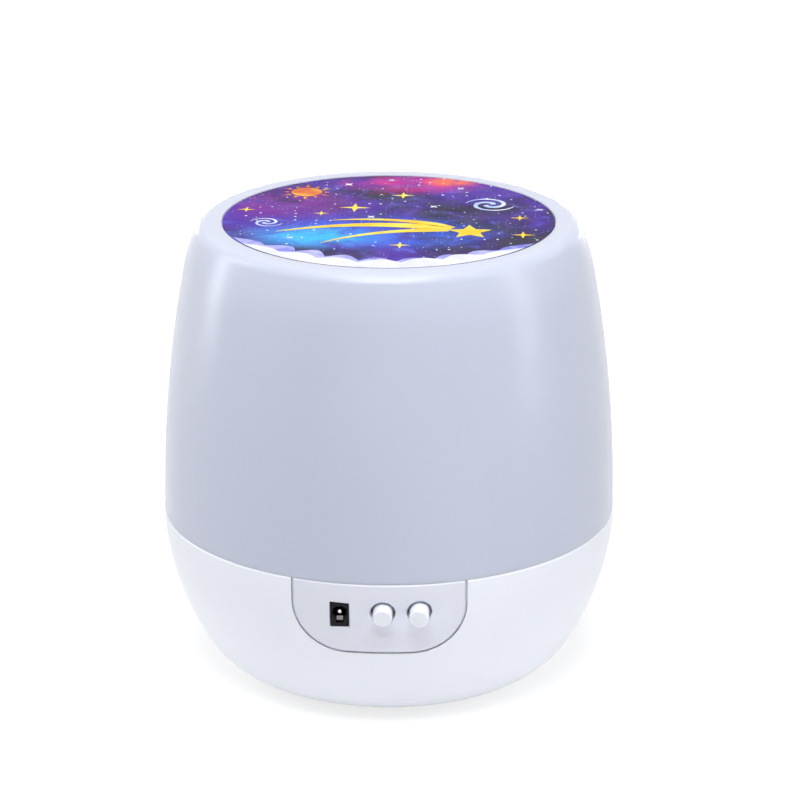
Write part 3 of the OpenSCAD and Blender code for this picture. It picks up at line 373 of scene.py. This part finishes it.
def makePicturePrint():
    material, tree, surface = newMaterial("picturePrint")
    place = objectPlace(tree)
    sky = placeGroup(tree, nightSky, Vector=place, Deep=(*pictureLook["deep"], 1),
                     Middle=(*pictureLook["middle"], 1), Wisp=(*pictureLook["wisp"], 1),
                     Scale=pictureLook["scale"], Wisps=pictureLook["wisps"])
    colour = sky["Colour"]
    ragged = noise(tree, place, pictureLook["raggedScale"], 6.0, 1.2)
    for tint, centre, reach, drawnOut in pictureLook["glows"]:
        mask = glowMask(tree, place, centre, reach, drawnOut, ragged)
        colour = mixColour(tree, mask, colour, (*tint, 1))
    for scale, size, share, strength in pictureLook["dots"]:
        dots = placeGroup(tree, starDots, Vector=place, Scale=scale, Size=size, Share=share)
        mask = maths(tree, "MULTIPLY", dots["Mask"], strength)
        colour = mixColour(tree, mask, colour, (*pictureLook["dotColour"], 1))
    feed(tree, surface.inputs["Base Color"], colour)
    sheen = noise(tree, place, pictureLook["sheenScale"], 3.0)
    rough, spread = pictureLook["roughness"], pictureLook["sheenSpread"]
    feed(tree, surface.inputs["Roughness"], remap(tree, sheen, *usualNoise, rough - spread, rough + spread))
    setSockets(surface, IOR=printIor, Specular_IOR_Level=pictureLook["gloss"])
    grain = noise(tree, place, pictureLook["grainScale"])
    addBump(tree, surface, grain, pictureLook["bump"], pictureLook["depth"])
    return material


# Inks of the picture's raised print, washed from the shadow colour to the colour
inkLooks = {
    "goldInk": dict(colour=(0.94, 0.80, 0.10), shadowColour=(0.92, 0.56, 0.03), roughness=0.42),
    "orangeInk": dict(colour=(0.92, 0.42, 0.05), shadowColour=(0.62, 0.13, 0.04), roughness=0.42),
    "paleInk": dict(colour=(0.92, 0.93, 0.96), shadowColour=(0.42, 0.55, 0.88), roughness=0.42),
    "cloudInk": dict(colour=(0.84, 0.83, 0.82), shadowColour=(0.70, 0.71, 0.83), roughness=0.45),
    "farCloudInk": dict(colour=(0.50, 0.50, 0.86), shadowColour=(0.20, 0.20, 0.66), roughness=0.45),
}
inkWash = dict(scale=110.0, low=0.34, high=0.66, duller=0.08, gloss=0.15, grainScale=2600.0, bump=0.05,
               depth=0.02 * mm)


def makeInk(name, look):
    material, tree, surface = newMaterial(name)
    place = objectPlace(tree)
    blots = noise(tree, place, inkWash["scale"], 5.0, 0.6)
    wash = remap(tree, blots, inkWash["low"], inkWash["high"], smooth=True)
    colour = mixColour(tree, wash, (*look["shadowColour"], 1), (*look["colour"], 1))
    feed(tree, surface.inputs["Base Color"], colour)
    rough = look["roughness"]
    feed(tree, surface.inputs["Roughness"], remap(tree, wash, 0.0, 1.0, rough + inkWash["duller"], rough))
    setSockets(surface, IOR=printIor, Specular_IOR_Level=inkWash["gloss"])
    grain = noise(tree, place, inkWash["grainScale"], 3.0)
    addBump(tree, surface, grain, inkWash["bump"], inkWash["depth"])
    return material


# Clear dome: polished, with a faint moulding haze
domeLook = dict(clear=(0.94, 0.96, 1.0), hazy=(0.90, 0.93, 0.98), hazeScale=60.0, polished=0.02, dull=0.07,
                rippleScale=40.0, bump=0.05, depth=0.2 * mm)


def makeClearPlastic():
    material, tree, surface = newMaterial("clearDome")
    place = objectPlace(tree)
    haze = noise(tree, place, domeLook["hazeScale"], 4.0)
    rough = remap(tree, haze, *usualNoise, domeLook["polished"], domeLook["dull"])
    feed(tree, surface.inputs["Roughness"], rough)
    colour = mixColour(tree, haze, (*domeLook["clear"], 1), (*domeLook["hazy"], 1))
    feed(tree, surface.inputs["Base Color"], colour)
    setSockets(surface, IOR=plasticIor, Transmission_Weight=1.0)
    ripple = noise(tree, place, domeLook["rippleScale"], 1.0)
    addBump(tree, surface, ripple, domeLook["bump"], domeLook["depth"])
    return material


# Film in the dome: dark print with clear stars, some of them tinted; stars as scale, size and share
filmLook = dict(ink=(0.012, 0.010, 0.055), inkMiddle=(0.03, 0.03, 0.16), inkScale=45.0, rolledR=32.0 * mm,
                stars=((420.0, 0.2, 0.6), (130.0, 0.17, 0.75)), plain=(1.0, 0.98, 0.9),
                tints=((0.05, 0.30, 0.85), (0.80, 0.10, 0.40), (0.90, 0.62, 0.08), (0.10, 0.62, 0.32)),
                kinds=6.0, inkAlpha=0.93, starAlpha=0.55, sheenScale=200.0, polished=0.2, dull=0.3, ior=1.5)


def makeFilmPrint():
    material, tree, surface = newMaterial("starFilm")
    place = objectPlace(tree)
    polar = addNode(tree, "SeparateXYZ", Vector=place)
    turn = maths(tree, "ARCTAN2", polar.outputs[1], polar.outputs[0])
    along = maths(tree, "MULTIPLY", turn, filmLook["rolledR"])
    flat = addNode(tree, "CombineXYZ", X=along, Y=polar.outputs[2]).outputs[0]
    tone = noise(tree, place, filmLook["inkScale"], 5.0, 1.0)
    colour = mixColour(tree, tone, (*filmLook["ink"], 1), (*filmLook["inkMiddle"], 1))
    clear = None
    for scale, size, share in filmLook["stars"]:
        dots = placeGroup(tree, starDots, Vector=flat, Scale=scale, Size=size, Share=share)
        tint = (*filmLook["plain"], 1)
        kind = maths(tree, "MULTIPLY", dots["Random"], filmLook["kinds"])  # its first and last are plain
        for index, other in enumerate(filmLook["tints"]):
            picked = maths(tree, "COMPARE", kind, index + 1.0)
            tint = mixColour(tree, picked, tint, (*other, 1))
        colour = mixColour(tree, dots["Mask"], colour, tint)
        clear = dots["Mask"] if clear is None else maths(tree, "MAXIMUM", clear, dots["Mask"])
    feed(tree, surface.inputs["Base Color"], colour)
    alpha = remap(tree, clear, 0.0, 1.0, filmLook["inkAlpha"], filmLook["starAlpha"])
    feed(tree, surface.inputs["Alpha"], alpha)
    sheen = noise(tree, place, filmLook["sheenScale"])
    rough = remap(tree, sheen, *usualNoise, filmLook["polished"], filmLook["dull"])
    feed(tree, surface.inputs["Roughness"], rough)
    setSockets(surface, IOR=filmLook["ior"])
    return material


# Circuit boards: solder mask with copper runs and pads below it
boardLooks = {
    "boardGreen": dict(colour=(0.018, 0.16, 0.06), runColour=(0.05, 0.30, 0.12)),
    "boardWhite": dict(colour=(0.84, 0.84, 0.80), runColour=(0.90, 0.88, 0.80)),
}
boardRuns = dict(runScale=260.0, runEdge=0.05, gapEdge=0.09, padScale=420.0, padSize=0.3, padShare=0.25,
                 darker=0.8, toneScale=90.0, maskRoughness=0.34, copperRoughness=0.24, ior=1.52, bump=0.2,
                 depth=0.04 * mm)


def makeBoardMask(name, look):
    material, tree, surface = newMaterial(name)
    place = objectPlace(tree)
    runs = addNode(tree, "TexVoronoi", {"distance": "MANHATTAN", "feature": "DISTANCE_TO_EDGE"},
                   Vector=place, Scale=boardRuns["runScale"])
    gap = remap(tree, runs.outputs["Distance"], boardRuns["runEdge"], boardRuns["gapEdge"])
    pads = placeGroup(tree, starDots, Vector=place, Scale=boardRuns["padScale"], Size=boardRuns["padSize"],
                      Share=boardRuns["padShare"])
    copper = maths(tree, "MAXIMUM", maths(tree, "SUBTRACT", 1.0, gap), pads["Mask"])
    shaded = tuple(boardRuns["darker"] * channel for channel in look["colour"])
    tone = noise(tree, place, boardRuns["toneScale"], 3.0)
    ground = mixColour(tree, tone, (*look["colour"], 1), (*shaded, 1))
    feed(tree, surface.inputs["Base Color"], mixColour(tree, copper, ground, (*look["runColour"], 1)))
    rough = remap(tree, copper, 0.0, 1.0, boardRuns["maskRoughness"], boardRuns["copperRoughness"])
    feed(tree, surface.inputs["Roughness"], rough)
    setSockets(surface, IOR=boardRuns["ior"])
    addBump(tree, surface, copper, boardRuns["bump"], boardRuns["depth"])
    return material


# Light chips: amber phosphor under a clear lens
chipLook = dict(amber=(0.90, 0.62, 0.12), bright=(0.98, 0.84, 0.34), speckScale=5200.0, polished=0.22,
                dull=0.4, lens=0.8, ior=1.45, bump=0.1, depth=0.03 * mm)


def makeLightChip():
    material, tree, surface = newMaterial("lightChip")
    speck = noise(tree, objectPlace(tree), chipLook["speckScale"], 3.0)
    colour = mixColour(tree, speck, (*chipLook["amber"], 1), (*chipLook["bright"], 1))
    feed(tree, surface.inputs["Base Color"], colour)
    rough = remap(tree, speck, *usualNoise, chipLook["polished"], chipLook["dull"])
    feed(tree, surface.inputs["Roughness"], rough)
    setSockets(surface, IOR=chipLook["ior"], Coat_Weight=chipLook["lens"])
    addBump(tree, surface, speck, chipLook["bump"], chipLook["depth"])
    return material


finishes = {name: makePlastic(name, look) for name, look in plasticLooks.items()}
finishes.update({name: makeMetal(name, look) for name, look in metalLooks.items()})
finishes.update({name: makeInk(name, look) for name, look in inkLooks.items()})
finishes.update({name: makeBoardMask(name, look) for name, look in boardLooks.items()})
finishes["frostedShade"] = makeShadePlastic()
finishes["picturePrint"] = makePicturePrint()
finishes["clearDome"] = makeClearPlastic()
finishes["starFilm"] = makeFilmPrint()
finishes["lightChip"] = makeLightChip()
print("materials built:", len(finishes))

# The finish of each carried-over piece
nodeFinish = {
    "shellPlastic": ("base_shell", "battery_door"),
    "panelPlastic": ("control_panel",),
    "buttonPlastic": ("light_button", "rotate_button"),
    "innerPlastic": ("deck", "gear_plate", "turntable", "film_ring", "led_holder"),
    "gearNylon": ("idler_gear", "output_gear", "drive_pinion", "turntable_gear"),
    "washerPlastic": ("thrust_washer",),
    "blackPlastic": ("jack_housing", "push_switches", "board_components", "motor_end_cap"),
    "footRubber": ("rubber_feet",),
    "zincSteel": ("housing_screws", "board_screws", "battery_door_screw", "gear_plate_screws", "motor_can",
                  "motor_screws", "led_holder_screws"),
    "shaftSteel": ("motor_shaft", "idler_axle", "drive_shaft"),
    "nickelContact": ("jack_pin", "battery_plates", "battery_springs"),
    # the jack spring gets the dull metal with painted shade of the socket's bore
    "dullAndShadedContact": ("jack_spring",),
    "redCoat": ("led_wires", "battery_wires"),
    "darkCoat": ("motor_wires",),
    "turnedBrass": ("motor_pinion", "shaft_bushing"),
    "frostedShade": ("lampshade",),
    "picturePrint": ("picture_disc",),
    "clearDome": ("dome_cover",),
    "starFilm": ("star_film",),
    "boardGreen": ("main_board",),
    "boardWhite": ("led_board",),
    "lightChip": ("led_emitters",),
}
for finish, names in nodeFinish.items():
    for name in names:
        nodes[name].data.materials.clear()
        nodes[name].data.materials.append(finishes[finish])


# mesh helpers

def addPiece(name, mesh, material, body):
    mesh.materials.append(material)
    piece = bpy.data.objects.new(name, mesh)
    bpy.context.scene.collection.objects.link(piece)
    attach(piece, body)
    return piece


# A thin print of several outlines, standing up from the height low by thick
def printMesh(name, outlines, low, thick):
    mesh = bpy.data.meshes.new(name)
    build = bmesh.new()
    for outline in outlines:
        face = build.faces.new([build.verts.new((x, y, low)) for x, y in outline])
        if face.normal.z < 0:
            face.normal_flip()
        raised = bmesh.ops.extrude_face_region(build, geom=[face])
        tops = [item for item in raised["geom"] if isinstance(item, bmesh.types.BMVert)]
        bmesh.ops.translate(build, vec=(0, 0, thick), verts=tops)
    bmesh.ops.recalc_face_normals(build, faces=build.faces)
    bmesh.ops.triangulate(build, faces=[f for f in build.faces if len(f.verts) > 4])
    build.to_mesh(mesh)
    build.free()
    return mesh


# Picture print, drawn in metres from the middle of the disc with its front at -Y
printLook = dict(thick=0.05 * mm, rim=45.2 * mm)


def aroundPoint(x, y, radius, angle):
    return (x + radius * math.cos(angle), y + radius * math.sin(angle))


def sparkleOutline(x, y, reach, points, waist, turn):
    outline = []
    for step in range(points * 2):
        radius = reach if step % 2 == 0 else reach * waist
        outline.append(aroundPoint(x, y, radius, math.radians(turn) + math.pi * step / points))
    return outline


# Comet: a star-shaped head and three tapering, bowed streaks behind it
cometLook = dict(
    head=(0.0225, -0.0105), headR=6.4 * mm, points=5, waist=0.46, headTurn=20.0, direction=156.0, bow=26.0,
    streaksFrom=0.9, steps=16, taper=0.7, neck=0.35, swell=4.0, tipHalf=0.04 * mm,
    # every streak: length in metres, degrees off the comet's direction, half width in millimetres
    streaks=((0.047, 0.0, 2.6), (0.036, 15.0, 1.7), (0.034, -16.0, 1.7)))


def cometOutlines():
    x, y = cometLook["head"]
    headR, steps = cometLook["headR"], cometLook["steps"]
    taper, neck, swell = cometLook["taper"], cometLook["neck"], cometLook["swell"]
    shapes = [sparkleOutline(x, y, headR, cometLook["points"], cometLook["waist"], cometLook["headTurn"])]
    for length, spread, width in cometLook["streaks"]:
        left, right = [], []
        for step in range(steps + 1):
            along = step / steps
            angle = math.radians(cometLook["direction"] + spread + cometLook["bow"] * along)
            px, py = aroundPoint(x, y, headR * cometLook["streaksFrom"] + length * along, angle)
            thinned = width * mm * (1.0 - along) ** taper
            half = thinned * min(1.0, neck + swell * along) + cometLook["tipHalf"]
            nx, ny = -math.sin(angle), math.cos(angle)
            left.append((px + nx * half, py + ny * half))
            right.append((px - nx * half, py - ny * half))
        shapes.append(left + right[::-1])
    return shapes


# Sun: a round face and pointed rays, which reach by shares of its radius and are wide by radians
sunLook = dict(middle=(-0.0245, 0.0275), radius=4.4 * mm, steps=40, rays=12, rayFoot=1.18,
               rayTips=(1.5, 1.75), rayHalf=0.13)


def sunOutlines():
    x, y = sunLook["middle"]
    radius, steps, rays = sunLook["radius"], sunLook["steps"], sunLook["rays"]
    foot, half = radius * sunLook["rayFoot"], sunLook["rayHalf"]
    shapes = [[aroundPoint(x, y, radius, math.tau * step / steps) for step in range(steps)]]
    for ray in range(rays):
        middle = math.tau * ray / rays
        tip = radius * sunLook["rayTips"][ray % 2]
        shapes.append([aroundPoint(x, y, foot, middle - half), aroundPoint(x, y, tip, middle),
                       aroundPoint(x, y, foot, middle + half)])
    return shapes


# Swirls: two arms that wind out from the middle and thin towards their ends
swirlLook = dict(
    # every swirl: place in metres, reach in millimetres, turn in degrees
    swirls=((0.0275, 0.0165, 7.0, 20.0), (-0.0335, -0.0035, 4.6, 200.0)),
    winds=330.0, eye=0.12, half=0.13, taper=0.6, tipHalf=0.03 * mm, steps=26)


def swirlOutlines(x, y, reach, turn):
    shapes, steps, eye = [], swirlLook["steps"], swirlLook["eye"]
    for arm in (0.0, 180.0):
        outer, inner = [], []
        for step in range(steps + 1):
            along = step / steps
            angle = math.radians(turn + arm + swirlLook["winds"] * along)
            radius = reach * mm * (eye + (1.0 - eye) * along)
            full = reach * mm * swirlLook["half"]
            half = full * (1.0 - along) ** swirlLook["taper"] + swirlLook["tipHalf"]
            outer.append(aroundPoint(x, y, radius + half, angle))
            inner.append(aroundPoint(x, y, radius - half, angle))
        shapes.append(outer + inner[::-1])
    return shapes


# Four-pointed stars: place in metres and reach in millimetres
goldStars = dict(
    waist=0.24, turn=90.0,
    stars=((-0.010, 0.012, 4.4), (0.036, 0.0035, 2.6), (0.003, 0.025, 3.2), (0.004, -0.024, 3.0),
           (-0.040, 0.009, 2.4), (0.037, -0.013, 3.2), (-0.019, 0.006, 2.2)))
paleStars = dict(
    waist=0.34, turn=45.0,
    stars=((-0.013, 0.036, 1.6), (0.012, 0.014, 1.5), (0.019, 0.033, 1.4), (-0.005, 0.003, 1.4),
           (-0.026, -0.018, 1.5), (0.0415, 0.012, 1.3), (-0.001, 0.041, 1.2)))


def starOutlines(look):
    return [sparkleOutline(x, y, reach * mm, 4, look["waist"], look["turn"]) for x, y, reach in look["stars"]]


# Banks of clouds along the front edge, scalloped on the inside
cloudLook = dict(
    # every bank: first and last angle, depth in millimetres, puffs, how much it leans to one end
    banks=((-156.0, -28.0, 9.6, 9, 0.10), (-148.0, -34.0, 7.4, 7, -0.08)),
    stepsPerPuff=9, betweenPuffs=0.62, endRise=1.5, endTaper=0.7, leanWave=7.0, rimGap=0.05 * mm)


def cloudOutline(first, last, depth, puffs, lean):
    inner, outer, steps = [], [], puffs * cloudLook["stepsPerPuff"]
    rim, low = printLook["rim"], cloudLook["betweenPuffs"]
    for step in range(steps + 1):
        share = step / steps
        angle = math.radians(first + (last - first) * share)
        swell = abs(math.sin(math.pi * puffs * share))
        body = min(1.0, cloudLook["endRise"] * math.sin(math.pi * share)) ** cloudLook["endTaper"]
        leaning = 1.0 + lean * math.sin(cloudLook["leanWave"] * share)
        fall = depth * mm * body * (low + (1.0 - low) * swell) * leaning
        inner.append(aroundPoint(0.0, 0.0, rim - fall - cloudLook["rimGap"], angle))
        outer.append(aroundPoint(0.0, 0.0, rim, angle))
    return inner + outer[::-1]


# Every layer of the print: its outlines, how many times the print's thickness it stands up, its ink
def addPicturePrint():
    farClouds, nearClouds = [cloudOutline(*bank) for bank in cloudLook["banks"]]
    swirlArms = [arm for swirl in swirlLook["swirls"] for arm in swirlOutlines(*swirl)]
    layers = (("picture_gold_print", cometOutlines() + starOutlines(goldStars), 1.0, "goldInk"),
              ("picture_sun", sunOutlines(), 1.0, "orangeInk"),
              ("picture_pale_print", starOutlines(paleStars) + swirlArms, 1.0, "paleInk"),
              ("picture_far_clouds", [farClouds], 1.3, "farCloudInk"),
              ("picture_near_clouds", [nearClouds], 1.7, "cloudInk"))
    for name, outlines, thicker, ink in layers:
        mesh = printMesh(name, outlines, printLow, printLook["thick"] * thicker)
        addPiece(name, mesh, finishes[ink], "shade")


addPicturePrint()
print("picture printed")

# Floor: pale and wide; to the camera it is lit up to white, and keeps the shadow near the lamp
floorLook = dict(half=6.0, colour=(0.92, 0.92, 0.93), glow=0.74, shadowShare=0.42, fadeFrom=0.15,
                 fadeTo=0.6)


def makeFloorMaterial():
    material = bpy.data.materials.new("paleFloor")
    material.use_nodes = True
    tree = material.node_tree
    tree.nodes.clear()
    bounce = addNode(tree, "BsdfDiffuse", Color=(*floorLook["colour"], 1)).outputs[0]
    shadow = addNode(tree, "BsdfDiffuse", Color=(*(floorLook["shadowShare"],) * 3, 1)).outputs[0]
    away = vectorMaths(tree, "LENGTH", objectPlace(tree))
    level = remap(tree, away, floorLook["fadeFrom"], floorLook["fadeTo"], floorLook["glow"], 1.0)
    glow = addNode(tree, "Emission", Color=(1, 1, 1, 1), Strength=level).outputs[0]
    lit = addNode(tree, "AddShader")
    tree.links.new(shadow, lit.inputs[0])
    tree.links.new(glow, lit.inputs[1])
    above = mixShader(tree, seenByRay(tree), bounce, lit.outputs[0])
    clear = addNode(tree, "BsdfTransparent").outputs[0]
    fromBelow = addNode(tree, "NewGeometry").outputs["Backfacing"]
    whole = mixShader(tree, fromBelow, above, clear)  # seen from below, the floor is clear
    tree.links.new(whole, addNode(tree, "OutputMaterial").inputs["Surface"])
    return material


def addFloor():
    mesh = bpy.data.meshes.new("floor")
    half = floorLook["half"]
    corners = [(-half, -half, 0), (half, -half, 0), (half, half, 0), (-half, half, 0)]
    mesh.from_pydata(corners, [], [(0, 1, 2, 3)])
    floor = bpy.data.objects.new("floor", mesh)
    bpy.context.scene.collection.objects.link(floor)
    mesh.materials.append(makeFloorMaterial())


addFloor()

# World: plain ambient light, and white wherever it is seen directly or mirrored
worldLook = dict(ambient=(0.97, 0.98, 1.0), strength=0.03)


def lightWorld():
    world = bpy.data.worlds.new("studio")
    bpy.context.scene.world = world
    world.use_nodes = True
    tree = world.node_tree
    tree.nodes.clear()
    ambient = addNode(tree, "Background", Color=(*worldLook["ambient"], 1), Strength=worldLook["strength"])
    white = addNode(tree, "Background", Color=(1, 1, 1, 1), Strength=1.0)
    whole = mixShader(tree, seenByRay(tree), ambient.outputs[0], white.outputs[0])
    tree.links.new(whole, addNode(tree, "OutputWorld").inputs["Surface"])


lightWorld()

# Softboxes: where each stands, its size and its power; all of them point at the lamp's middle
lampAim = (0.0, 0.0, 0.065)
lampLooks = {
    "keyBox": dict(place=(0.0, -0.43, 0.855), size=(0.50, 0.48), power=6.4, colour=(0.98, 0.99, 1.0)),
    "topBox": dict(place=(0.0, -0.05, 0.98), size=(0.50, 0.50), power=2.9, colour=(0.98, 0.99, 1.0)),
    "frontBox": dict(place=(-0.10, -1.05, 0.06), size=(0.90, 0.10), power=0.35, colour=(0.98, 0.99, 1.0)),
    "backBox": dict(place=(0.0, 1.05, 0.063), size=(1.10, 0.12), power=4.5, colour=(0.98, 0.99, 1.0)),
    "leftBox": dict(place=(-0.77, 0.20, 0.30), size=(0.16, 0.80), power=2.4, colour=(0.97, 0.98, 1.0)),
    "rightBox": dict(place=(0.785, -0.150, 0.30), size=(0.20, 0.80), power=2.0, colour=(0.97, 0.98, 1.0)),
}


def addSoftbox(name, look):
    lamp = bpy.data.lights.new(name, "AREA")
    lamp.shape = "RECTANGLE"
    lamp.size, lamp.size_y = look["size"]
    lamp.energy = look["power"]
    lamp.color = look["colour"]
    holder = bpy.data.objects.new(name, lamp)
    bpy.context.scene.collection.objects.link(holder)
    holder.location = look["place"]
    aim = Vector(lampAim) - Vector(look["place"])
    holder.rotation_euler = aim.to_track_quat("-Z", "Y").to_euler()


for name, look in lampLooks.items():
    addSoftbox(name, look)

# Camera as the photograph was taken: distance to the target, angles in degrees, lens and sensor in mm
cameraLook = dict(target=(0.0, 0.0, 0.0645), distance=0.9191, azimuth=2.6, elevation=20.07,
                  lens=146.8, sensor=36.0, aimRight=0.0031, aimUp=0.01214, clipFrom=0.01, clipTo=50.0)


def placeCamera():
    data = bpy.data.cameras.new("camera")
    camera = bpy.data.objects.new("camera", data)
    bpy.context.scene.collection.objects.link(camera)
    turn, rise = math.radians(cameraLook["azimuth"]), math.radians(cameraLook["elevation"])
    back = Vector((math.sin(turn) * math.cos(rise), -math.cos(turn) * math.cos(rise), math.sin(rise)))
    right = Vector((math.cos(turn), math.sin(turn), 0.0))
    up = back.cross(right)
    target = Vector(cameraLook["target"])
    camera.location = target + back * cameraLook["distance"]
    aim = target + right * cameraLook["aimRight"] + up * cameraLook["aimUp"]
    camera.rotation_euler = (aim - camera.location).to_track_quat("-Z", "Y").to_euler()
    data.lens = cameraLook["lens"]
    data.sensor_width = cameraLook["sensor"]
    data.clip_start, data.clip_end = cameraLook["clipFrom"], cameraLook["clipTo"]
    bpy.context.scene.camera = camera


placeCamera()
bpy.context.scene.view_settings.view_transform = "Standard"
print("stage, lights and camera set")
